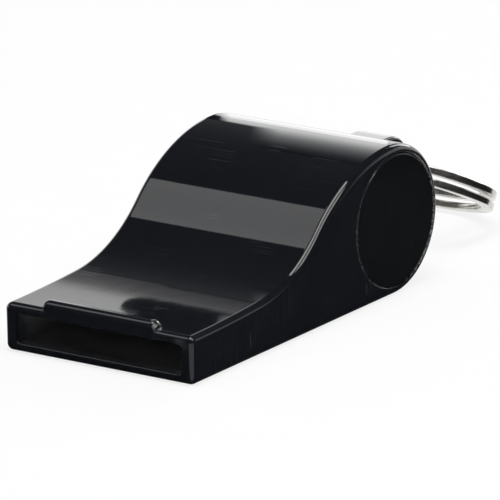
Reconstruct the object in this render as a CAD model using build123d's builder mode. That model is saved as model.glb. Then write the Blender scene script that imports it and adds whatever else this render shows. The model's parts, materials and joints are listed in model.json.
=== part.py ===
"""Pea whistle lying on its flat side: a moulded body, two end caps, a cork pea and a split ring.

Frame: +Z up, +Y from the mouth towards the barrel, X along the barrel's axis.
The origin is on the flat face, halfway between the mouth and the sound window.
All sizes are in millimetres.
"""

import os
from math import asin, atan2, cos, degrees, hypot, pi, radians, sin, sqrt

from build123d import *

# Body: one moulding that holds the mouthpiece, the barrel and the lug
body_width = 24.0
barrel_radius = 8.2
barrel_wall = 1.4
mouth_height = 5.2
mouth_run = 12.46
throat_angle = 4.0
shoulder_radius = 19.9
shoulder_angle = 44.8
edge_radius = 0.75

# Windway: the flat channel that carries the breath to the window
windway_wall = 1.0
windway_side_wall = 1.5
windway_exit_height = 1.4
windway_corner_share = 0.3
mouth_round_share = 0.8

# Sound window in the flat face, and the lip at its far edge
window_side_wall = 3.4
window_length = 5.2
window_past_axis = 1.0
lip_thickness = 0.3
lip_bevel_run = 3.2

# End caps: a disc in a seat, with a hollow spigot in the chamber's bore
cap_seat_step = 0.5
cap_thickness = 1.4
cap_spigot_length = 1.0
cap_spigot_wall = 1.0
cap_clearance = 0.05
cap_edge_chamfer = 0.15

# Bite ridge along the mouth's upper edge
ridge_length = 14.6
ridge_depth = 1.7
ridge_height = 0.9
ridge_round_share = 0.9

# Cork pea
pea_radius = 4.0
pea_clearance = 0.2

# Split ring: flat wire wound in two turns
ring_outer_radius = 9.3
ring_wire_width = 1.4
ring_wire_thickness = 0.8
ring_wire_corner_share = 0.3
ring_turn_gap = 0.45
ring_turns = 2
ring_end_angle = -120.0
ring_floor_gap = 0.05
ring_samples_per_turn = 200

# Lug behind the barrel, with a cross hole for the ring a little above the barrel's axis
lug_wall = 1.1
lug_web = 3.4
lug_rise = 1.2
lug_thickness = 5.0
lug_round_share = 0.35
lug_hole_clearance = 0.8

# How far every cut runs past the surface that it opens
overrun = 1.0

# Places on the body that follow from the sizes above
bend = radians(shoulder_angle)
dish = radians(throat_angle)
barrel_top_z = 2 * barrel_radius
shoulder_run = shoulder_radius * sin(bend)
bend_z = barrel_top_z - shoulder_radius * (1 - cos(bend))
mouth_top_radius = mouth_run / sin(dish)
throat_z = mouth_height + mouth_top_radius * (1 - cos(dish))
throat_radius = (bend_z - throat_z) / (cos(dish) - cos(bend))
throat_run = throat_radius * (sin(bend) - sin(dish))
mouth_to_axis = mouth_run + throat_run + shoulder_run
window_front_to_axis = window_length - window_past_axis
flat_length = mouth_to_axis - window_front_to_axis
mouth_y = -flat_length / 2
throat_y = mouth_y + mouth_run
bend_y = throat_y + throat_run
axis_y = bend_y + shoulder_run
axis_z = barrel_radius
side_x = body_width / 2
chamber_radius = barrel_radius - barrel_wall
seat_radius = chamber_radius + cap_seat_step
window_width = body_width - 2 * window_side_wall
window_front_y = flat_length / 2
window_back_y = window_front_y + window_length

# Ring and lug: the two turns of wire pass through the hole with room to swing
ring_mean_radius = ring_outer_radius - ring_wire_width / 2
ring_pitch = ring_wire_thickness + ring_turn_gap
ring_bundle_height = ring_pitch + ring_wire_thickness
lug_hole_radius = hypot(ring_wire_width, ring_bundle_height) / 2 + lug_hole_clearance
lug_radius = lug_hole_radius + lug_wall
hole_y = axis_y + barrel_radius + lug_web + lug_hole_radius
hole_z = axis_z + lug_rise

os.makedirs("parts", exist_ok=True)

# Bite ridge: a bar with rounded ends and a rounded top, flush with the mouth and half sunk in it
ridge_radius = ridge_round_share * min(ridge_height, ridge_depth / 2)
ridge_y = mouth_y + ridge_depth / 2
with BuildPart(Plane((0, ridge_y, mouth_height))) as bite_ridge:
    Box(ridge_length, ridge_depth, 2 * ridge_height)
    fillet(bite_ridge.edges().filter_by(Axis.Z), radius=ridge_radius)
    fillet(bite_ridge.faces().sort_by(Axis.Z)[-1].edges(), radius=ridge_radius)

# Lug: a rounded tab whose root runs into the barrel's wall
lug_root_y = axis_y + sqrt(barrel_radius**2 - (lug_radius + lug_rise) ** 2) - barrel_wall / 2
with BuildPart() as lug:
    with BuildSketch(Plane.YZ):
        with Locations((hole_y, hole_z)):
            Circle(lug_radius)
        with Locations(((lug_root_y + hole_y) / 2, hole_z)):
            Rectangle(hole_y - lug_root_y, 2 * lug_radius)
    extrude(amount=lug_thickness / 2, both=True)
    root_face = lug.faces().sort_by(Axis.Y)[0]
    lug_rims = lug.faces().filter_by(Axis.X).edges() - root_face.edges()
    fillet(lug_rims, radius=lug_round_share * min(lug_wall, lug_thickness / 2))

# Whistle body: outer form first, then everything that is hollow in it
with BuildPart() as whistle_body:
    # Side outline: flat face, round back, shoulder, throat and the mouthpiece's faintly dished top
    with BuildSketch(Plane.YZ):
        with BuildLine():
            Line((mouth_y, 0), (axis_y, 0))
            RadiusArc((axis_y, 0), (axis_y, barrel_top_z), -barrel_radius)
            RadiusArc((axis_y, barrel_top_z), (bend_y, bend_z), -shoulder_radius)
            RadiusArc((bend_y, bend_z), (throat_y, throat_z), throat_radius)
            RadiusArc((throat_y, throat_z), (mouth_y, mouth_height), mouth_top_radius)
            Line((mouth_y, mouth_height), (mouth_y, 0))
        make_face()
    extrude(amount=side_x, both=True)
    side_edges = whistle_body.faces().filter_by(Axis.X).edges()
    mouth_edges = whistle_body.faces().sort_by(Axis.Y)[0].edges()
    fillet(ShapeList(set(side_edges + mouth_edges)), radius=edge_radius)
    add(bite_ridge.part)
    add(lug.part)

    # Cross hole for the ring, and the chamber's bore from side to side
    with BuildSketch(Plane.YZ):
        with Locations((hole_y, hole_z)):
            Circle(lug_hole_radius)
        with Locations((axis_y, axis_z)):
            Circle(chamber_radius)
    extrude(amount=side_x + overrun, both=True, mode=Mode.SUBTRACT)

    # A seat for a cap in each side
    for side in (1, -1):
        with BuildSketch(Plane.YZ.offset(side * (side_x - cap_thickness))):
            with Locations((axis_y, axis_z)):
                Circle(seat_radius)
        extrude(amount=side * (cap_thickness + overrun), mode=Mode.SUBTRACT)

    # Windway: wide at the mouth, narrowing to a slit at the window
    windway_corner = windway_corner_share * windway_exit_height
    opening_width = body_width - 2 * windway_side_wall
    opening_height = mouth_height - 2 * windway_wall
    slit_z = windway_wall + windway_exit_height / 2
    with BuildSketch(Plane((0, mouth_y, mouth_height / 2), x_dir=(1, 0, 0), z_dir=(0, -1, 0))):
        RectangleRounded(opening_width, opening_height, windway_corner)
    with BuildSketch(Plane((0, window_front_y, slit_z), x_dir=(1, 0, 0), z_dir=(0, -1, 0))):
        RectangleRounded(window_width, windway_exit_height, windway_corner)
    loft(mode=Mode.SUBTRACT)
    front_faces = whistle_body.faces().filter_by(Axis.Y).group_by(Axis.Y)[0]
    opening_edges = front_faces.sort_by(SortBy.AREA)[-1].inner_wires()[0].edges()
    fillet(opening_edges, radius=mouth_round_share * (windway_wall - edge_radius))

    # Sound window through the flat wall into the chamber
    chamber_front_z = axis_z - sqrt(chamber_radius**2 - window_front_to_axis**2)
    window_top = chamber_front_z + windway_wall
    with BuildSketch(Plane.XY.offset(window_top)):
        with Locations((0, (window_front_y + window_back_y) / 2)):
            Rectangle(window_width, window_length)
    extrude(amount=-(window_top + overrun), mode=Mode.SUBTRACT)

    # Lip: the window's far edge is bevelled from outside
    with BuildSketch(Plane.YZ):
        with BuildLine():
            Polyline(
                (window_back_y, barrel_wall - lip_thickness),
                (window_back_y + lip_bevel_run, 0),
                (window_back_y + lip_bevel_run, -overrun),
                (window_back_y, -overrun),
                close=True,
            )
        make_face()
    extrude(amount=window_width / 2, both=True, mode=Mode.SUBTRACT)
whistle_body.part.label = "whistle_body"
export_step(whistle_body.part, "parts/whistle_body.step")

# End caps: one made on the right, the other its mirror image
spigot_radius = chamber_radius - cap_clearance
cap_face = Plane((side_x, axis_y, axis_z), x_dir=(0, 1, 0), z_dir=(1, 0, 0))
with BuildPart() as right_end_cap:
    with BuildSketch(cap_face):
        Circle(seat_radius - cap_clearance)
    extrude(amount=-cap_thickness)
    chamfer(right_end_cap.faces().sort_by(Axis.X)[-1].edges(), length=cap_edge_chamfer)
    with BuildSketch(cap_face.offset(-cap_thickness)):
        Circle(spigot_radius)
        Circle(spigot_radius - cap_spigot_wall, mode=Mode.SUBTRACT)
    extrude(amount=-cap_spigot_length)
right_end_cap.part.label = "right_end_cap"
export_step(right_end_cap.part, "parts/right_end_cap.step")

with BuildPart() as left_end_cap:
    add(mirror(right_end_cap.part, about=Plane.YZ, mode=Mode.PRIVATE))
left_end_cap.part.label = "left_end_cap"
export_step(left_end_cap.part, "parts/left_end_cap.step")

# Pea: a cork ball at the bottom of the chamber
with BuildPart() as pea:
    with Locations((0, axis_y, axis_z - chamber_radius + pea_clearance + pea_radius)):
        Sphere(pea_radius)
pea.part.label = "pea"
export_step(pea.part, "parts/pea.step")

# The ring's own plane: it hangs by the hole and its far end lies just above the floor
turn_at_hole = ((ring_end_angle - 270) % 360) / 360
turn_at_far_end = ((ring_end_angle - 90) % 360) / 360
middle_at_hole = (turn_at_hole + (ring_turns - 1) / 2) * ring_pitch
drop_at_far_end = middle_at_hole - turn_at_far_end * ring_pitch + ring_wire_thickness / 2
far_reach = 2 * ring_mean_radius + ring_wire_width / 2
droop = asin((hole_z - ring_floor_gap) / hypot(far_reach, drop_at_far_end))
droop -= atan2(drop_at_far_end, far_reach)
ring_along = Vector(0, cos(droop), -sin(droop))
ring_normal = Vector(0, sin(droop), cos(droop))
ring_start = Vector(0, hole_y, hole_z) + ring_along * ring_mean_radius - ring_normal * middle_at_hole
ring_plane = Plane(ring_start, x_dir=(1, 0, 0), z_dir=ring_normal)


def wire_place(quarter):
    """The point and the direction of the wire after so many quarter turns."""
    angle = radians(ring_end_angle) - quarter * pi / 2
    outward = ring_plane.x_dir * cos(angle) + ring_plane.y_dir * sin(angle)
    forward = ring_plane.x_dir * sin(angle) - ring_plane.y_dir * cos(angle)
    point = ring_plane.origin + outward * ring_mean_radius + ring_normal * (ring_pitch * quarter / 4)
    tangent = forward * (2 * pi * ring_mean_radius) + ring_normal * ring_pitch
    return point, tangent.normalized()


def biarc_middle(start, start_tangent, end, end_tangent):
    """Where the two arcs of a biarc meet, and their direction there."""
    span = end - start
    tangents = start_tangent + end_tangent
    spread = 2 * (1 - start_tangent.dot(end_tangent))
    reach = (sqrt(span.dot(tangents) ** 2 + spread * span.dot(span)) - span.dot(tangents)) / spread
    middle = (start + end + (start_tangent - end_tangent) * reach) / 2
    direction = (end - end_tangent * reach) - (start + start_tangent * reach)
    return middle, direction.normalized()


# Split ring: one flat wire swept along biarcs of a quarter turn
with BuildPart() as split_ring:
    with BuildLine() as wire_line:
        for quarter in range(4 * ring_turns):
            start, start_tangent = wire_place(quarter)
            end, end_tangent = wire_place(quarter + 1)
            middle, middle_tangent = biarc_middle(start, start_tangent, end, end_tangent)
            TangentArc(start, middle, tangent=start_tangent)
            TangentArc(middle, end, tangent=middle_tangent)
    wire_path = wire_line.wires()[0]
    first_point, first_tangent = wire_place(0)
    wire_end_plane = Plane(first_point, x_dir=first_point - ring_plane.origin, z_dir=first_tangent)
    with BuildSketch(wire_end_plane) as wire_section:
        RectangleRounded(ring_wire_width, ring_wire_thickness, ring_wire_corner_share * ring_wire_thickness)
    sweep(path=wire_path)
split_ring.part.label = "split_ring"
export_step(split_ring.part, "parts/split_ring.step")

# The wire's least gap to itself, and its volume against section times length
sample_count = ring_turns * ring_samples_per_turn
wire_points = [wire_path.position_at(i / sample_count) for i in range(sample_count + 1)]
turn_pairs = zip(wire_points, wire_points[ring_samples_per_turn:])
turn_gap = min((lower - upper).length for lower, upper in turn_pairs) - ring_wire_thickness
wire_volume = wire_section.sketch.area * wire_path.length
print(f"ring droops {degrees(droop):.2f} degrees, least gap between its turns {turn_gap:.3f} mm")
print(f"ring volume {split_ring.part.volume:.2f}, section times length {wire_volume:.2f}")
print(f"mouth at {mouth_y:.3f}, axis at {axis_y:.3f}, {axis_z:.3f}, hole at {hole_y:.3f}, {hole_z:.3f}")
ring_centre = Vector(0, hole_y, hole_z) + ring_along * ring_mean_radius
print(f"middle of the ring at {ring_centre.Y:.3f}, {ring_centre.Z:.3f}, lug hole radius {lug_hole_radius:.3f}")
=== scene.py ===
"""Looks of a black pea whistle with a split ring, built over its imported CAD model.

Laid out as an add-on: property groups, one operator per piece or pair of pieces, a sidebar panel.
Everything is in metres in the CAD frame: +Z up, +Y from the mouth to the ring, X along the barrel.
"""

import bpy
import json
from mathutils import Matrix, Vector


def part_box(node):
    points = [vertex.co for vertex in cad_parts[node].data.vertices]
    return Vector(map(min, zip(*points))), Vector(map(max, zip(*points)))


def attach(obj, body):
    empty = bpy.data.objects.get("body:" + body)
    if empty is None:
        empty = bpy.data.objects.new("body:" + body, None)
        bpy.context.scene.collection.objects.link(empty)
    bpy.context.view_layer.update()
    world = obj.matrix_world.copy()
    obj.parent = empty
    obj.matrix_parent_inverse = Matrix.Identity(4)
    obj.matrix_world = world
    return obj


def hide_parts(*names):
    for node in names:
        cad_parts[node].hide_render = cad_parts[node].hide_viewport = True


bl_info = {
    "name": "Pea Whistle",
    "version": (1, 0, 0),
    "blender": (4, 5, 0),
    "location": "View3D > Sidebar > Whistle",
    "description": "Finishes a pea whistle's body, caps, pea and split ring and sets its stage",
    "category": "Object",
}

import json
from math import cos, pi, radians, sin

import bmesh
import bpy
from bpy.props import FloatProperty, FloatVectorProperty, IntProperty, PointerProperty
from mathutils import Matrix, Vector, noise

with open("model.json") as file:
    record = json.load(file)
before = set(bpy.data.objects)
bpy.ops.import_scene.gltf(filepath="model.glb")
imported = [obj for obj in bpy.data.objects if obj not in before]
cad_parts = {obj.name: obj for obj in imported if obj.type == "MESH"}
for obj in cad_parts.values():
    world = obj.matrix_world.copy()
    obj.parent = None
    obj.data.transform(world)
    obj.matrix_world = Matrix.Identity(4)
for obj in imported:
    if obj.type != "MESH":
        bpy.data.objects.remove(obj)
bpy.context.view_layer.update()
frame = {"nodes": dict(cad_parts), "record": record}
mounts = {mount["name"]: mount for mount in frame["record"]["mounts"]}
pea_low, pea_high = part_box("pea")
cap_low, cap_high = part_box("right_end_cap")
body_low, body_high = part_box("whistle_body")

PLASTIC_IOR = 1.45
BEVEL_SAMPLES = 6
HOLLOW_SAMPLES = 8
SENSOR_WIDTH = 36.0
CLIP_START = 0.01
CLIP_END = 50.0

# Pairs of place and brightness: up the lit card, and up the sky behind and in front
CARD_FADE = (
    (0.12, 0.7),
    (0.40, 1),
    (0.49, 0.81),
    (0.575, 0.61),
    (0.65, 0.40),
    (0.72, 0.26),
    (0.79, 0.165),
    (0.85, 0.09),
    (0.91, 0.04),
    (1.0, 0),
)
BACKDROP_FADE = (
    (0.0, 1),
    (0.350, 1),
    (0.359, 0.85),
    (0.367, 0.51),
    (0.374, 0.33),
    (0.382, 0.18),
    (0.390, 0.12),
    (0.40, 0.08),
    (0.7, 0.04),
)
FRONT_FADE = ((0.0, 0.2), (0.05, 0.14), (0.14, 0.06), (0.4, 0.05))

# Name, tilt from overhead, distance, shift along X, width, depth and brightness of each lamp
LAMPS = (
    ("shoulder_softbox", radians(-17.3), 0.584, -0.386, 0.30, 0.267, 1.95),
    ("overhead_strip", radians(-5), 0.7, 0.03, 0.30, 0.43, 7.0),
    ("side_strip", radians(-3), 0.7, 0.54, 0.36, 0.43, 6.0),
    ("back_strip", radians(65), 0.7, 0.0, 0.15, 0.375, 6.0),
)


class BodySettings(bpy.types.PropertyGroup):
    """Finish of the moulded body"""

    colour: FloatVectorProperty(
        name="Plastic colour",
        description="Colour of the black plastic",
        default=(0.0066, 0.0080, 0.0112),
        subtype="COLOR",
        min=0.0,
        max=1.0,
    )
    scuff_colour: FloatVectorProperty(
        name="Scuff colour",
        description="Colour of the plastic where edges are rubbed",
        default=(0.016, 0.0165, 0.018),
        subtype="COLOR",
        min=0.0,
        max=1.0,
    )
    roughness: FloatProperty(
        name="Roughness",
        description="Roughness of the polished faces between the scratches",
        default=0.035,
        min=0.0,
        max=1.0,
        subtype="FACTOR",
    )
    scratch_colour: FloatVectorProperty(
        name="Scratch colour",
        description="Colour of the hairline scratches",
        default=(0.05, 0.052, 0.055),
        subtype="COLOR",
        min=0.0,
        max=1.0,
    )
    scratch_roughness: FloatProperty(
        name="Scratch roughness",
        description="What a scratch adds to the roughness",
        default=0.22,
        min=0.0,
        max=1.0,
        subtype="FACTOR",
    )
    # Painted light: a pale colour that lightens the deep shade on the walls inside the windway,
    # near the mouth
    painted_hollow_light_colour: FloatVectorProperty(
        name="Dust colour",
        description="Colour of the dusty walls inside the windway, near the mouth",
        default=(0.32, 0.32, 0.33),
        subtype="COLOR",
        min=0.0,
        max=1.0,
    )
    # Partly wear and partly painted highlight: the pale colour of the specks along the caps' seams
    # and at the gate
    wear_and_highlight_colour: FloatVectorProperty(
        name="Seam colour",
        description="Colour of the specks along the caps' seams",
        default=(0.34, 0.34, 0.33),
        subtype="COLOR",
        min=0.0,
        max=1.0,
    )
    seam_radius: FloatProperty(
        name="Seam radius",
        description="Radius of the seams round the caps",
        default=0.0073,
        unit="LENGTH",
        precision=5,
    )
    seam_width: FloatProperty(
        name="Seam width",
        description="Width of the worn strip on each side of a seam",
        default=0.00022,
        unit="LENGTH",
        precision=5,
    )
    # Painted glints, given as torn specks of a gate: where the pale specks at the end of the bite
    # ridge are, and how far they spread
    gate_glint_place: FloatVectorProperty(
        name="Gate place",
        description="Where the moulding was broken off, at the end of the bite ridge",
        default=(0.0071, body_low.y + 0.0009, 0.0058),
        subtype="TRANSLATION",
        unit="LENGTH",
        precision=5,
    )
    gate_glint_radius: FloatProperty(
        name="Gate size",
        description="Radius of the torn specks round that place",
        default=0.0009,
        unit="LENGTH",
        precision=5,
    )
    edge_round: FloatProperty(
        name="Edge rounding",
        description="Radius that softens the light on moulded edges",
        default=0.00012,
        unit="LENGTH",
        precision=5,
    )


class CapSettings(bpy.types.PropertyGroup):
    """Finish of the two end caps"""

    colour: FloatVectorProperty(
        name="Cap colour",
        description="Colour of the caps' plastic",
        default=(0.0050, 0.0061, 0.0072),
        subtype="COLOR",
        min=0.0,
        max=1.0,
    )
    roughness: FloatProperty(
        name="Roughness",
        description="Roughness of the caps' fine grain",
        default=0.14,
        min=0.0,
        max=1.0,
        subtype="FACTOR",
    )
    grain: FloatProperty(
        name="Grain size",
        description="Size of the grain on the caps' faces",
        default=0.00022,
        unit="LENGTH",
        precision=5,
    )


class PeaSettings(bpy.types.PropertyGroup):
    """Size and finish of the cork pea"""

    radius: FloatProperty(
        name="Radius",
        description="Radius of the pea",
        default=(pea_high.x - pea_low.x) / 2,
        unit="LENGTH",
        precision=4,
    )
    pit_depth: FloatProperty(
        name="Pit depth",
        description="Depth of the deepest pits between the cork's granules",
        default=0.00022,
        unit="LENGTH",
        precision=5,
    )
    granule: FloatProperty(
        name="Granule size",
        description="Size of the granules that the cork is pressed from",
        default=0.0011,
        unit="LENGTH",
        precision=4,
    )
    light_colour: FloatVectorProperty(
        name="Light cork",
        description="Colour of the palest granules",
        default=(0.52, 0.34, 0.185),
        subtype="COLOR",
        min=0.0,
        max=1.0,
    )
    dark_colour: FloatVectorProperty(
        name="Dark cork",
        description="Colour of the pits and the darkest granules",
        default=(0.16, 0.082, 0.036),
        subtype="COLOR",
        min=0.0,
        max=1.0,
    )


class RingSettings(bpy.types.PropertyGroup):
    """Sizes and finish of the split ring"""

    outer_radius: FloatProperty(
        name="Outer radius",
        description="Outer radius of the ring",
        default=0.0093,
        unit="LENGTH",
        precision=4,
    )
    wire_width: FloatProperty(
        name="Wire width",
        description="Width of the flat wire, across the ring",
        default=0.0014,
        unit="LENGTH",
        precision=5,
    )
    wire_thickness: FloatProperty(
        name="Wire thickness",
        description="Thickness of the flat wire, along the ring's axis",
        default=0.0008,
        unit="LENGTH",
        precision=5,
    )
    turn_gap: FloatProperty(
        name="Gap between turns",
        description="Gap between one turn of wire and the next",
        default=0.00045,
        unit="LENGTH",
        precision=5,
    )
    turns: IntProperty(
        name="Turns",
        description="Whole turns of wire in the ring",
        default=2,
        min=1,
        max=4,
    )
    end_angle: FloatProperty(
        name="End angle",
        description="Where both ends of the wire lie, from +X round the ring's axis",
        default=radians(-120.0),
        subtype="ANGLE",
    )
    steps: IntProperty(
        name="Steps per turn",
        description="Sections of wire in one turn",
        default=240,
        min=24,
        max=720,
    )
    colour: FloatVectorProperty(
        name="Nickel colour",
        description="Colour of the nickel plating",
        default=(0.66, 0.645, 0.61),
        subtype="COLOR",
        min=0.0,
        max=1.0,
    )
    roughness: FloatProperty(
        name="Roughness",
        description="Roughness of the bright plating between its drawing lines",
        default=0.13,
        min=0.0,
        max=1.0,
        subtype="FACTOR",
    )


class StageSettings(bpy.types.PropertyGroup):
    """Camera, floor and backdrop"""

    azimuth: FloatProperty(
        name="Camera azimuth",
        description="Angle of the camera round the whistle, from in front of the mouth",
        default=radians(35.148),
        subtype="ANGLE",
    )
    elevation: FloatProperty(
        name="Camera elevation",
        description="Angle of the camera above the floor",
        default=radians(16.886),
        subtype="ANGLE",
    )
    roll: FloatProperty(
        name="Camera roll",
        description="Turn of the camera about its own line of sight",
        default=radians(-1.119),
        subtype="ANGLE",
    )
    distance: FloatProperty(
        name="Camera distance",
        description="Distance from the camera to the point that it aims at",
        default=0.76135,
        unit="LENGTH",
    )
    target: FloatVectorProperty(
        name="Camera target",
        description="Point that the camera aims at",
        default=(0.000013, 0.0109495, 0.0055800),
        subtype="TRANSLATION",
        unit="LENGTH",
        precision=5,
    )
    lens: FloatProperty(
        name="Lens",
        description="Focal length in millimetres on a 36 mm sensor",
        default=517.8,
        min=1.0,
    )
    floor_size: FloatProperty(
        name="Floor size",
        description="Length of the floor's sides",
        default=3.0,
        unit="LENGTH",
    )
    floor_gap: FloatProperty(
        name="Floor gap",
        description="Hair's breadth between the floor and the flat face that lies on it",
        default=0.00004,
        unit="LENGTH",
        precision=5,
    )
    floor_colour: FloatVectorProperty(
        name="Floor colour",
        description="Colour of the pale floor",
        default=(0.92, 0.92, 0.92),
        subtype="COLOR",
        min=0.0,
        max=1.0,
    )
    backdrop_level: FloatProperty(
        name="Backdrop level",
        description="Brightness of the backdrop just above the floor, where 1 is white",
        default=1.6,
        min=0.0,
    )
    floor_glow: FloatProperty(
        name="Background share",
        description="Share of plain white in the floor that the camera and reflections see",
        default=0.8,
        min=0.0,
        max=1.0,
        subtype="FACTOR",
    )


def add_node(tree, kind, inputs=None, **settings):
    """Add a shader node, set its own settings and its unlinked inputs."""
    node = tree.nodes.new(kind)
    for name, value in settings.items():
        setattr(node, name, value)
    for name, value in (inputs or {}).items():
        node.inputs[name].default_value = value
    return node


def start_material(name):
    """A material with an empty principled shader; returns the material, its tree and the shader."""
    material = bpy.data.materials.new(name)
    material.use_nodes = True
    tree = material.node_tree
    return material, tree, tree.nodes["Principled BSDF"]


def set_stops(ramp_node, stops):
    """Set a colour ramp's stops from pairs of place and colour, or place and grey value."""
    elements = ramp_node.color_ramp.elements
    while len(elements) < len(stops):
        elements.new(1.0)
    for element, (place, colour) in zip(elements, stops):
        if isinstance(colour, (int, float)):
            colour = (colour, colour, colour)
        element.position = place
        element.color = (*colour, 1.0)


def darker(colour, share):
    """A colour with every channel times a share."""
    return [channel * share for channel in colour]


def place_texture(tree, scale=(1.0, 1.0, 1.0), turn=(0.0, 0.0, 0.0)):
    """Coordinates in the object's own metres, turned and scaled."""
    coordinates = add_node(tree, "ShaderNodeTexCoord")
    mapping = add_node(tree, "ShaderNodeMapping", {"Scale": scale, "Rotation": turn})
    tree.links.new(coordinates.outputs["Object"], mapping.inputs["Vector"])
    return mapping.outputs["Vector"]


def add_noise(tree, vector, scale, detail=2.0, roughness=0.5):
    """A noise pattern; returns its grey value."""
    pattern = add_node(
        tree, "ShaderNodeTexNoise", {"Scale": scale, "Detail": detail, "Roughness": roughness}
    )
    tree.links.new(vector, pattern.inputs["Vector"])
    return pattern.outputs["Fac"]


def add_ramp(tree, value, stops):
    """Pass a value through a colour ramp."""
    ramp = add_node(tree, "ShaderNodeValToRGB")
    set_stops(ramp, stops)
    tree.links.new(value, ramp.inputs["Fac"])
    return ramp.outputs["Color"]


def combine(tree, operation, *values):
    """Combine one to three values; any may be a plain number."""
    node = add_node(tree, "ShaderNodeMath", operation=operation)
    for socket, value in zip(node.inputs, values):
        if isinstance(value, (int, float)):
            socket.default_value = value
        else:
            tree.links.new(value, socket)
    return node.outputs["Value"]


def stretch(tree, value, low, high):
    """Map a value from 0..1 to low..high."""
    node = add_node(tree, "ShaderNodeMapRange", {"To Min": low, "To Max": high})
    tree.links.new(value, node.inputs["Value"])
    return node.outputs["Result"]


def join_vectors(tree, operation, *vectors):
    """Combine one or two vectors, plain or linked; returns the node's outputs."""
    node = add_node(tree, "ShaderNodeVectorMath", operation=operation)
    for socket, vector in zip(node.inputs, vectors):
        if isinstance(vector, bpy.types.NodeSocket):
            tree.links.new(vector, socket)
        else:
            socket.default_value = vector
    return node.outputs


def split_vector(tree, vector):
    """Split a vector; returns its X, Y and Z as outputs of those names."""
    node = add_node(tree, "ShaderNodeSeparateXYZ")
    tree.links.new(vector, node.inputs["Vector"])
    return node.outputs


def mix_colours(tree, factor, first, second):
    """Mix two colours by a linked factor; either colour may be plain or linked."""
    node = add_node(tree, "ShaderNodeMix", data_type="RGBA")
    tree.links.new(factor, node.inputs["Factor"])
    # The node's colour sockets share their names with its number sockets, so they go by place
    for socket, colour in ((node.inputs[6], first), (node.inputs[7], second)):
        if isinstance(colour, bpy.types.NodeSocket):
            tree.links.new(colour, socket)
        else:
            socket.default_value = (*colour, 1.0)
    return node.outputs[2]


def mix_shaders(tree, share, first, second):
    """Mix two shaders by a linked share and make the mix the material's surface."""
    node = add_node(tree, "ShaderNodeMixShader")
    tree.links.new(share, node.inputs["Fac"])
    tree.links.new(first, node.inputs[1])
    tree.links.new(second, node.inputs[2])
    tree.links.new(node.outputs["Shader"], tree.nodes["Material Output"].inputs["Surface"])


def scratch_lines(tree, scale, turn, share):
    """Thin straight scratches in one direction, broken up by a patchy mask."""
    lines = add_noise(tree, place_texture(tree, scale, turn), scale=1.0, detail=1.0)
    thin = add_ramp(tree, lines, [(0.5 - share, 0), (0.5, 1), (0.5 + share, 0)])
    patches = add_noise(tree, place_texture(tree, turn=turn), scale=190.0, detail=1.0)
    shown = add_ramp(tree, patches, [(0.58, 0), (0.70, 1)])
    return combine(tree, "MULTIPLY", thin, shown)


def edge_mask(tree, radius):
    """A value that rises from 0 on open faces to 1 on edges."""
    bevel = add_node(tree, "ShaderNodeBevel", {"Radius": radius}, samples=BEVEL_SAMPLES)
    surface = add_node(tree, "ShaderNodeNewGeometry")
    likeness = join_vectors(
        tree, "DOT_PRODUCT", bevel.outputs["Normal"], surface.outputs["Normal"]
    )
    return add_ramp(tree, likeness["Value"], [(0.90, 1), (0.995, 0)])


def seam_wear_and_highlight(tree, radius, width):
    """Pale specks along the seam between body and caps, more of them towards the ring: partly wear,
    partly a painted highlight where the seam's edge catches the light.
    """
    place = place_texture(tree)
    axis = (0.0, *((cap_low + cap_high) / 2).yz)
    from_axis = join_vectors(tree, "SUBTRACT", place, axis)["Vector"]
    across = join_vectors(tree, "MULTIPLY", from_axis, (0.0, 1.0, 1.0))["Vector"]
    reach = join_vectors(tree, "LENGTH", across)["Value"]
    off_seam = combine(tree, "ABSOLUTE", combine(tree, "SUBTRACT", reach, radius))
    on_seam = add_ramp(tree, combine(tree, "DIVIDE", off_seam, width), [(0.4, 1), (1.0, 0)])
    parts = split_vector(tree, from_axis)
    from_middle = combine(tree, "ABSOLUTE", parts["X"])
    outside = combine(tree, "GREATER_THAN", from_middle, cap_high.x - width)
    across_cap = combine(tree, "MULTIPLY_ADD", parts["Y"], 0.5 / radius, 0.5)
    # Painted highlight: more pale specks towards the ring and some towards the mouth, fewest in
    # between
    wear_and_highlight_spread = [(0.0, 0.28), (0.2, 0.2), (0.4, 0.04), (0.6, 0.06), (0.85, 1)]
    more = add_ramp(tree, across_cap, wear_and_highlight_spread)
    specks = add_noise(tree, place, scale=4200.0, detail=3.0, roughness=0.7)
    speckled = combine(tree, "MULTIPLY", on_seam, add_ramp(tree, specks, [(0.45, 0), (0.6, 1)]))
    return combine(tree, "MULTIPLY", combine(tree, "MULTIPLY", speckled, outside), more)


def torn_glint_specks(tree, centre, radius):
    """Pale specks round one place: torn plastic at a gate where the moulding was broken off,
    painted bright as glints.
    """
    place = place_texture(tree)
    distance = join_vectors(tree, "DISTANCE", place, centre)["Value"]
    near = add_ramp(tree, combine(tree, "DIVIDE", distance, radius), [(0.6, 1), (1.0, 0)])
    specks = add_noise(tree, place, scale=2300.0, detail=2.0)
    shown = add_ramp(tree, specks, [(0.52, 0), (0.60, 1)])
    return combine(tree, "MULTIPLY", near, shown)


def painted_hollow_light(tree, reach):
    """Where light is painted: a value that is 1 inside hollows near the mouth, and 0 on open faces
    and farther in.
    """
    openness = add_node(
        tree,
        "ShaderNodeAmbientOcclusion",
        {"Distance": reach},
        samples=HOLLOW_SAMPLES,
        only_local=True,
    )
    hidden = add_ramp(tree, openness.outputs["AO"], [(0.1, 1), (0.4, 0)])
    along = split_vector(tree, place_texture(tree))["Y"]
    from_mouth = combine(tree, "SUBTRACT", along, body_low.y)
    depth = combine(tree, "DIVIDE", from_mouth, body_high.y - body_low.y)
    return combine(tree, "MULTIPLY", hidden, add_ramp(tree, depth, [(0.15, 1), (0.4, 0)]))


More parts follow.
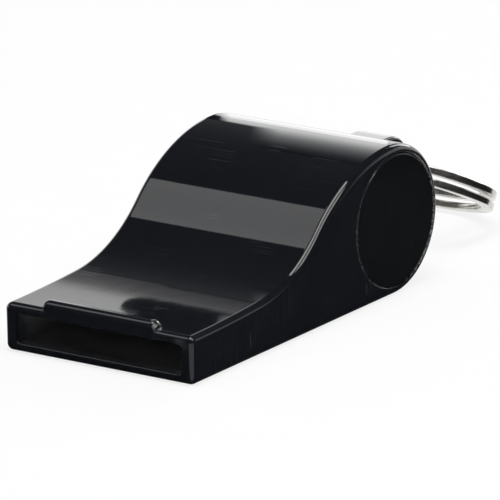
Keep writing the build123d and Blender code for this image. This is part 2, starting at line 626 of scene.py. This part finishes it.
def add_bump(tree, shader, height, strength, depth, soft_edge=0.0):
    """Bump the shader's normal by a height, over edges softened by a radius if one is given."""
    bump = add_node(tree, "ShaderNodeBump", {"Strength": strength, "Distance": depth})
    tree.links.new(height, bump.inputs["Height"])
    if soft_edge:
        bevel = add_node(tree, "ShaderNodeBevel", {"Radius": soft_edge}, samples=BEVEL_SAMPLES)
        tree.links.new(bevel.outputs["Normal"], bump.inputs["Normal"])
    tree.links.new(bump.outputs["Normal"], shader.inputs["Normal"])


def polished_plastic(settings):
    """Black moulded plastic: polished, with faint flow marks, scratches and rubbed edges, painted
    light inside the hollows near the mouth, and pale specks that are partly wear and partly painted
    highlights and glints.
    """
    material, tree, shader = start_material("polished_black_plastic")
    shader.inputs["IOR"].default_value = PLASTIC_IOR
    place = place_texture(tree)
    flow = add_noise(tree, place, scale=85.0, detail=3.0)
    deep = darker(settings.colour, share=0.8)
    plastic = add_ramp(tree, flow, [(0.35, deep), (0.65, settings.colour)])
    rub = add_noise(tree, place, scale=900.0, detail=4.0)
    rub_patches = add_ramp(tree, rub, [(0.48, 0), (0.62, 1)])
    rubbed = combine(tree, "MULTIPLY", edge_mask(tree, radius=0.0006), rub_patches)

    # Two sets of hairline scratches, at two shallow angles
    scratches = combine(
        tree,
        "MAXIMUM",
        scratch_lines(tree, scale=(9, 1100, 9), turn=(0.0, 0.0, 0.55), share=0.006),
        scratch_lines(tree, scale=(8, 900, 8), turn=(0.0, 0.0, 0.15), share=0.005),
    )
    colour = mix_colours(tree, rubbed, plastic, settings.scuff_colour)
    colour = mix_colours(tree, scratches, colour, settings.scratch_colour)
    # Painted light inside the hollows near the mouth, lightening the deep shade of the windway
    hollow_light = painted_hollow_light(tree, reach=body_high.z / 2)
    colour = mix_colours(tree, hollow_light, colour, settings.painted_hollow_light_colour)
    # Pale specks on the caps' seams and at the gate: partly wear, partly painted highlights and
    # painted glints
    seam = seam_wear_and_highlight(tree, settings.seam_radius, settings.seam_width)
    torn_glints = torn_glint_specks(tree, settings.gate_glint_place, settings.gate_glint_radius)
    wear_and_glints = combine(tree, "MAXIMUM", seam, torn_glints)
    colour = mix_colours(tree, wear_and_glints, colour, settings.wear_and_highlight_colour)
    tree.links.new(colour, shader.inputs["Base Color"])

    # A polish that varies a little, duller on scratches and rubbed edges
    polish = stretch(tree, flow, low=settings.roughness * 0.8, high=settings.roughness * 1.3)
    worn = combine(tree, "MAXIMUM", scratches, combine(tree, "MULTIPLY", rubbed, 0.5))
    added = combine(tree, "MULTIPLY", worn, settings.scratch_roughness)
    tree.links.new(combine(tree, "ADD", polish, added), shader.inputs["Roughness"])

    # Faint ripples of the moulding, with the scratches cut into them
    ripple = add_noise(tree, place, scale=420.0, detail=2.0)
    height = combine(tree, "SUBTRACT", ripple, combine(tree, "MULTIPLY", scratches, 0.5))
    add_bump(tree, shader, height, strength=0.10, depth=0.00002, soft_edge=settings.edge_round)
    return material


def grained_plastic(settings, body):
    """Black plastic of the caps: a fine even grain that breaks up the gloss."""
    material, tree, shader = start_material("grained_black_plastic")
    shader.inputs["IOR"].default_value = PLASTIC_IOR
    place = place_texture(tree)
    clouds = add_noise(tree, place, scale=260.0, detail=3.0)
    deep = darker(settings.colour, share=0.75)
    plastic = add_ramp(tree, clouds, [(0.35, deep), (0.65, settings.colour)])
    # Pale specks on the seam: partly wear, partly painted highlight
    seam = seam_wear_and_highlight(tree, body.seam_radius, body.seam_width)
    colour = mix_colours(tree, seam, plastic, body.wear_and_highlight_colour)
    tree.links.new(colour, shader.inputs["Base Color"])
    grain = add_noise(tree, place, scale=1.0 / settings.grain, detail=3.0, roughness=0.6)
    specks = add_ramp(tree, grain, [(0.58, 0), (0.70, 1)])
    base = stretch(tree, clouds, low=settings.roughness * 0.8, high=settings.roughness * 1.3)
    sparkle = combine(tree, "MULTIPLY", specks, 0.12)
    tree.links.new(combine(tree, "ADD", base, sparkle), shader.inputs["Roughness"])
    add_bump(tree, shader, grain, strength=0.18, depth=0.00003, soft_edge=body.edge_round)
    return material


def add_granules(tree, place, size, feature):
    """A pattern of cork granules of that size; returns its outputs."""
    pattern = add_node(tree, "ShaderNodeTexVoronoi", {"Scale": 1.0 / size}, feature=feature)
    tree.links.new(place, pattern.inputs["Vector"])
    return pattern.outputs


def pressed_cork(settings):
    """Cork pressed from granules: mottled browns, dark seams and a dull surface."""
    material, tree, shader = start_material("pressed_cork")
    place = place_texture(tree)
    hues = add_node(tree, "ShaderNodeSeparateColor")
    granules = add_granules(tree, place, settings.granule, "F1")
    tree.links.new(granules["Color"], hues.inputs["Color"])
    middle = [(a + b) / 2 for a, b in zip(settings.light_colour, settings.dark_colour)]
    browns = [(0.0, middle), (0.45, settings.light_colour), (1.0, middle)]
    mottled = add_ramp(tree, hues.outputs["Red"], browns)
    edges = add_granules(tree, place, settings.granule, "DISTANCE_TO_EDGE")
    seam = add_ramp(tree, edges["Distance"], [(0.0, 1), (0.09, 0)])
    fibre = add_noise(tree, place, scale=4200.0, detail=5.0, roughness=0.65)
    flecks = add_ramp(tree, fibre, [(0.56, 0), (0.68, 0.8)])
    dark = combine(tree, "MAXIMUM", seam, flecks)
    colour = mix_colours(tree, dark, mottled, settings.dark_colour)
    tree.links.new(colour, shader.inputs["Base Color"])
    tree.links.new(stretch(tree, fibre, low=0.68, high=0.92), shader.inputs["Roughness"])
    height = combine(tree, "SUBTRACT", fibre, seam)
    add_bump(tree, shader, height, strength=0.5, depth=0.00012)
    return material


def drawn_nickel(settings):
    """Nickel-plated wire: bright, with drawing lines along it and a few dull patches."""
    material, tree, shader = start_material("drawn_nickel_wire")
    shader.inputs["Metallic"].default_value = 1.0
    patches = add_noise(tree, place_texture(tree), scale=700.0, detail=4.0)
    dull = darker(settings.colour, share=0.72)
    tint = add_ramp(tree, patches, [(0.38, dull), (0.56, settings.colour)])
    tree.links.new(tint, shader.inputs["Base Color"])

    # The drawing lines follow the wire, so they use its own map
    along = add_node(tree, "ShaderNodeTexCoord")
    mapping = add_node(tree, "ShaderNodeMapping", {"Scale": (30.0, 22.0, 1.0)})
    tree.links.new(along.outputs["UV"], mapping.inputs["Vector"])
    lines = add_noise(tree, mapping.outputs["Vector"], scale=1.0, detail=3.0, roughness=0.6)
    base = stretch(tree, patches, low=settings.roughness * 1.5, high=settings.roughness * 0.7)
    streaks = stretch(tree, lines, low=-0.03, high=0.09)
    tree.links.new(combine(tree, "ADD", base, streaks), shader.inputs["Roughness"])
    add_bump(tree, shader, lines, strength=0.16, depth=0.00003)
    return material


def give_material(obj, material):
    """Make this the object's only material."""
    obj.data.materials.clear()
    obj.data.materials.append(material)


def add_object(name, mesh_data):
    """Turn a bmesh into an object of that name in the scene."""
    mesh = bpy.data.meshes.new(name)
    mesh_data.to_mesh(mesh)
    mesh_data.free()
    mesh.shade_smooth()
    obj = bpy.data.objects.new(name, mesh)
    bpy.context.scene.collection.objects.link(obj)
    return obj


class WHISTLE_OT_finish_body(bpy.types.Operator):
    """Give the moulded body its polished black plastic"""

    bl_idname = "whistle.finish_body"
    bl_label = "Finish Body"

    def execute(self, context):
        give_material(frame["nodes"]["whistle_body"], polished_plastic(context.scene.whistle_body))
        return {"FINISHED"}


class WHISTLE_OT_finish_caps(bpy.types.Operator):
    """Give both end caps their grained black plastic"""

    bl_idname = "whistle.finish_caps"
    bl_label = "Finish End Caps"

    def execute(self, context):
        material = grained_plastic(context.scene.whistle_caps, context.scene.whistle_body)
        for node in ("right_end_cap", "left_end_cap"):
            give_material(frame["nodes"][node], material)
        return {"FINISHED"}


class WHISTLE_OT_make_pea(bpy.types.Operator):
    """Make the cork pea with its granules and pits"""

    bl_idname = "whistle.make_pea"
    bl_label = "Make Pea"

    def execute(self, context):
        settings = context.scene.whistle_pea
        centre = (pea_low + pea_high) / 2
        lump_size = settings.granule * 2.2
        seam_width = 0.22
        lump_share, seam_share = 0.35, 0.65
        ball = bmesh.new()
        bmesh.ops.create_icosphere(ball, subdivisions=6, radius=settings.radius)
        for vert in ball.verts:
            outward = vert.co.normalized()
            lumps = noise.noise(vert.co / lump_size)
            nearest = noise.voronoi(vert.co / settings.granule)[0]
            seam = max(0.0, 1.0 - (nearest[1] - nearest[0]) / seam_width)
            dent = lump_share * (0.5 + 0.5 * lumps) + seam_share * seam
            vert.co = centre + outward * (settings.radius - settings.pit_depth * dent)
        pea = add_object("cork_pea", ball)
        give_material(pea, pressed_cork(settings))
        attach(pea, "pea")
        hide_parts("pea")
        return {"FINISHED"}


def wire_section(width, thickness):
    """Points round the flat wire's section, with rounded corners."""
    corner = 0.2 * thickness
    steps = 5
    points = []
    for quarter in range(4):
        middle_x = (width / 2 - corner) * (1 if quarter in (0, 3) else -1)
        middle_z = (thickness / 2 - corner) * (1 if quarter in (0, 1) else -1)
        for step in range(steps + 1):
            angle = (quarter + step / steps) * pi / 2
            points.append((middle_x + corner * cos(angle), middle_z + corner * sin(angle)))
    return points


class WHISTLE_OT_make_split_ring(bpy.types.Operator):
    """Wind the split ring from flat wire and plate it with nickel"""

    bl_idname = "whistle.make_split_ring"
    bl_label = "Make Split Ring"

    def execute(self, context):
        settings = context.scene.whistle_ring
        axis = Vector(mounts["lanyard_ring"]["axis"]).normalized()
        sideways = Vector((1, 0, 0))
        forward = axis.cross(sideways)
        pitch = settings.wire_thickness + settings.turn_gap
        mean_radius = settings.outer_radius - settings.wire_width / 2

        # The mount is in the middle of the two turns where they pass through the lug
        lug_angle = radians(270)
        hole_turn = ((settings.end_angle - lug_angle) % (2 * pi)) / (2 * pi)
        middle_rise = (hole_turn + (settings.turns - 1) / 2) * pitch
        start = Vector(mounts["lanyard_ring"]["pos_m"]) - axis * middle_rise

        ring = bmesh.new()
        uv_layer = ring.loops.layers.uv.new("along_wire")
        section = wire_section(settings.wire_width, settings.wire_thickness)
        count = settings.turns * settings.steps
        taper_steps = max(3, settings.steps // 80)
        end_scale = 0.72
        loops = []
        for step in range(count + 1):
            angle = settings.end_angle - 2 * pi * step / settings.steps
            outward = sideways * cos(angle) + forward * sin(angle)
            middle = start + outward * mean_radius + axis * (pitch * step / settings.steps)
            to_end = min(step, count - step) / taper_steps
            scale = end_scale + (1 - end_scale) * sin(min(to_end, 1.0) * pi / 2)
            points = [middle + (outward * x + axis * z) * scale for x, z in section]
            loops.append([ring.verts.new(point) for point in points])

        # Join each loop to the next, with a map that runs along the wire and round it
        size = len(section)
        for step in range(count):
            for place in range(size):
                corners = (
                    (step, place),
                    (step, place + 1),
                    (step + 1, place + 1),
                    (step + 1, place),
                )
                face = ring.faces.new([loops[u][v % size] for u, v in corners])
                for loop, (u, v) in zip(face.loops, corners):
                    loop[uv_layer].uv = (u / settings.steps, v / size)
        ring.faces.new(reversed(loops[0]))
        ring.faces.new(loops[-1])
        bmesh.ops.recalc_face_normals(ring, faces=ring.faces)
        obj = add_object("nickel_split_ring", ring)
        sharp_angle = radians(50)
        obj.data.set_sharp_from_angle(angle=sharp_angle)
        give_material(obj, drawn_nickel(settings))
        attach(obj, "ring")
        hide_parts("split_ring")
        return {"FINISHED"}


def add_softbox(target, name, tilt, distance, shift, width, depth, radiance):
    """An area lamp over a point, tilted about X from overhead and shifted along X."""
    lamp = bpy.data.lights.new(name, "AREA")
    lamp.shape = "RECTANGLE"
    lamp.size = width
    lamp.size_y = depth
    lamp.energy = radiance * pi * width * depth
    obj = bpy.data.objects.new(name, lamp)
    turn = Matrix.Rotation(-tilt, 4, "X")
    foot = Matrix.Translation(target + Vector((shift, 0, 0)))
    obj.matrix_world = foot @ turn @ Matrix.Translation((0, 0, distance))
    obj.visible_camera = False
    bpy.context.scene.collection.objects.link(obj)


def dull_shader(shader, roughness):
    """Take the sheen off a principled shader."""
    shader.inputs["Roughness"].default_value = roughness
    shader.inputs["Specular IOR Level"].default_value = 0.0


def dark_felt():
    """Dark felt of the cards round the whistle, nearly black behind it."""
    material, tree, shader = start_material("dark_felt")
    dull_shader(shader, roughness=1.0)
    place = place_texture(tree)
    pattern = add_noise(tree, place, scale=2500.0, detail=3.0)
    fibres = add_ramp(tree, pattern, [(0.4, 0.035), (0.6, 0.055)])
    past_body = combine(tree, "DIVIDE", split_vector(tree, place)["Y"], 2 * body_high.y)
    shade = add_ramp(tree, past_body, [(0.5, 1), (0.65, 0.4)])
    tree.links.new(combine(tree, "MULTIPLY", fibres, shade), shader.inputs["Base Color"])
    return material


def white_glow(level):
    """A lit white card: brightest low down, dark at its top and clear at its upper left."""
    material, tree, _ = start_material("lit_white_card")
    coordinates = add_node(tree, "ShaderNodeTexCoord")
    parts = split_vector(tree, coordinates.outputs["UV"])
    light = add_node(tree, "ShaderNodeEmission")
    upward = add_ramp(tree, parts["Y"], CARD_FADE)
    tree.links.new(combine(tree, "MULTIPLY", upward, level), light.inputs["Strength"])
    lower_half = add_ramp(tree, parts["Y"], [(0.515, 1), (0.55, 0)])
    left_edge = add_ramp(tree, parts["X"], [(0.0, 0), (0.06, 1)])
    right_half = add_ramp(tree, parts["X"], [(0.20, 0), (0.36, 1)])
    shown = combine(
        tree, "MAXIMUM", combine(tree, "MULTIPLY", lower_half, left_edge), right_half
    )
    clear = add_node(tree, "ShaderNodeBsdfTransparent")
    mix_shaders(tree, shown, clear.outputs["BSDF"], light.outputs["Emission"])
    return material


def add_card(name, rows, material):
    """A card that only reflections see, from rows of a left and a right point."""
    sheet = bmesh.new()
    uv_layer = sheet.loops.layers.uv.new("across")
    verts = [[sheet.verts.new(point) for point in row] for row in rows]
    for step, (lower, upper) in enumerate(zip(verts, verts[1:])):
        face = sheet.faces.new((lower[0], lower[1], upper[1], upper[0]))
        corners = ((0, step), (1, step), (1, step + 1), (0, step + 1))
        for loop, (u, v) in zip(face.loops, corners):
            loop[uv_layer].uv = (u, v / (len(rows) - 1))
    card = add_object(name, sheet)
    give_material(card, material)
    card.visible_camera = False
    card.visible_diffuse = False
    card.visible_shadow = False


def add_cards():
    """Dark cards at the whistle's right, front and far left, and a lit one behind its barrel."""
    felt = dark_felt()

    # Two cards slope up from the foot of the right side and of the mouth: way out and height
    slope = ((-0.0007, 0.00002), (0.0003, 0.0001), (0.028, 0.012))
    past_ring = 0.1
    near, far = body_low.y, body_high.y + past_ring
    rows = [[(body_high.x + out, y, up) for y in (near, far)] for out, up in slope]
    add_card("right_card", rows, felt)
    left, right = body_low.x - slope[-1][0], body_high.x
    rows = [[(x, body_low.y - out, up) for x in (left, right)] for out, up in slope]
    add_card("front_card", rows, felt)

    # One stands far behind, with a rounded end that shows in the mouthpiece's top
    left, right = -0.0996, -0.0824
    y, top = 0.12, 0.0693
    corner, steps = 0.0034, 12
    rows = [[(left + corner, y, 0), (right, y, 0)]]
    for step in range(steps + 1):
        angle = (step / steps - 0.5) * pi
        edge, up = left + corner * (1 - cos(angle)), top - corner * (1 - sin(angle))
        rows.append([(edge, y, up), (right, y, up)])
    add_card("back_card", rows, felt)

    # The lit card curves round the line along the barrel's top, where it shows as a pale fade
    left, right = -0.0776, -0.0526
    radius, steps = 0.1, 24
    lowest, highest = radians(-5), radians(55)
    middle_y = (cap_low.y + cap_high.y) / 2
    rows = []
    for step in range(steps + 1):
        angle = lowest + (highest - lowest) * step / steps
        y, z = middle_y + radius * cos(angle), body_high.z + radius * sin(angle)
        rows.append([(left, y, z), (right, y, z)])
    add_card("lit_card", rows, white_glow(level=3.3))


def pale_floor(settings):
    """Pale floor paper: white behind the whistle and in reflections, and it keeps the shadow."""
    material, tree, shader = start_material("pale_floor_paper")
    dull_shader(shader, roughness=0.9)
    fibres = add_noise(tree, place_texture(tree), scale=160.0, detail=3.0)
    shade = darker(settings.floor_colour, share=0.985)
    paper = add_ramp(tree, fibres, [(0.4, shade), (0.6, settings.floor_colour)])
    tree.links.new(paper, shader.inputs["Base Color"])
    path = add_node(tree, "ShaderNodeLightPath")
    seen = combine(tree, "MAXIMUM", path.outputs["Is Camera Ray"], path.outputs["Is Glossy Ray"])
    seen = combine(tree, "MAXIMUM", seen, path.outputs["Is Transmission Ray"])
    share = combine(tree, "MULTIPLY", seen, settings.floor_glow)
    white = add_node(tree, "ShaderNodeEmission", {"Strength": 1.0})
    mix_shaders(tree, share, shader.outputs["BSDF"], white.outputs["Emission"])
    return material


def studio_world(settings):
    """A white backdrop low down behind the whistle, and a dark front and ceiling."""
    world = bpy.data.worlds.new("studio_surround")
    world.use_nodes = True
    tree = world.node_tree
    background = tree.nodes["Background"]
    background.inputs["Strength"].default_value = settings.backdrop_level
    direction = add_node(tree, "ShaderNodeTexCoord").outputs["Generated"]
    height = split_vector(tree, direction)["Z"]
    behind = add_ramp(tree, height, BACKDROP_FADE)
    in_front = add_ramp(tree, height, FRONT_FADE)
    away = (-sin(settings.azimuth), cos(settings.azimuth), 0.0)
    facing = join_vectors(tree, "DOT_PRODUCT", direction, away)["Value"]
    share = add_ramp(tree, facing, [(0.0, 0), (0.45, 1)])
    tree.links.new(mix_colours(tree, share, in_front, behind), background.inputs["Color"])
    bpy.context.scene.world = world


def add_camera(settings, target):
    """A camera at its angles and distance round a point that it aims at."""
    lens = bpy.data.cameras.new("camera")
    lens.lens = settings.lens
    lens.sensor_width = SENSOR_WIDTH
    lens.clip_start = CLIP_START
    lens.clip_end = CLIP_END
    camera = bpy.data.objects.new("camera", lens)
    azimuth, elevation = settings.azimuth, settings.elevation
    flat = cos(elevation)
    back = Vector((sin(azimuth) * flat, -cos(azimuth) * flat, sin(elevation)))
    level = Vector((cos(azimuth), sin(azimuth), 0))
    right = level * cos(settings.roll) + back.cross(level) * sin(settings.roll)
    turn = Matrix((right, back.cross(right), back)).transposed()
    camera.matrix_world = Matrix.Translation(target + back * settings.distance) @ turn.to_4x4()
    bpy.context.scene.collection.objects.link(camera)
    bpy.context.scene.camera = camera


class WHISTLE_OT_make_stage(bpy.types.Operator):
    """Set up the floor, the backdrop, the lamps, the cards and the camera"""

    bl_idname = "whistle.make_stage"
    bl_label = "Make Stage"

    def execute(self, context):
        settings = context.scene.whistle_stage
        context.scene.view_settings.view_transform = "Standard"
        sheet = bmesh.new()
        half = settings.floor_size / 2
        bmesh.ops.create_grid(sheet, x_segments=8, y_segments=8, size=half)
        floor = add_object("floor", sheet)
        floor.location.z = -settings.floor_gap
        give_material(floor, pale_floor(settings))
        studio_world(settings)
        target = Vector(settings.target)
        for lamp in LAMPS:
            add_softbox(target, *lamp)
        add_cards()
        add_camera(settings, target)
        return {"FINISHED"}


class WHISTLE_PT_sidebar(bpy.types.Panel):
    """The whistle's pieces and their settings"""

    bl_idname = "WHISTLE_PT_sidebar"
    bl_label = "Pea Whistle"
    bl_space_type = "VIEW_3D"
    bl_region_type = "UI"
    bl_category = "Whistle"

    def draw(self, context):
        for operator, settings_name in STEPS:
            box = self.layout.box()
            box.operator(operator.bl_idname)
            settings = getattr(context.scene, settings_name)
            for name in settings.bl_rna.properties.keys():
                if name not in ("rna_type", "name"):
                    box.prop(settings, name)


SETTINGS = {
    "whistle_body": BodySettings,
    "whistle_caps": CapSettings,
    "whistle_pea": PeaSettings,
    "whistle_ring": RingSettings,
    "whistle_stage": StageSettings,
}
STEPS = (
    (WHISTLE_OT_finish_body, "whistle_body"),
    (WHISTLE_OT_finish_caps, "whistle_caps"),
    (WHISTLE_OT_make_pea, "whistle_pea"),
    (WHISTLE_OT_make_split_ring, "whistle_ring"),
    (WHISTLE_OT_make_stage, "whistle_stage"),
)


def register():
    """Register the settings, the operators and the panel."""
    for name, group in SETTINGS.items():
        bpy.utils.register_class(group)
        setattr(bpy.types.Scene, name, PointerProperty(type=group))
    for operator, _ in STEPS:
        bpy.utils.register_class(operator)
    bpy.utils.register_class(WHISTLE_PT_sidebar)


def unregister():
    """Remove everything that register adds."""
    bpy.utils.unregister_class(WHISTLE_PT_sidebar)
    for operator, _ in reversed(STEPS):
        bpy.utils.unregister_class(operator)
    for name, group in reversed(SETTINGS.items()):
        delattr(bpy.types.Scene, name)
        bpy.utils.unregister_class(group)


def main():
    """Build every piece in order."""
    register()
    bpy.ops.whistle.finish_body()
    bpy.ops.whistle.finish_caps()
    bpy.ops.whistle.make_pea()
    bpy.ops.whistle.make_split_ring()
    bpy.ops.whistle.make_stage()


if __name__ == "__main__":
    main()
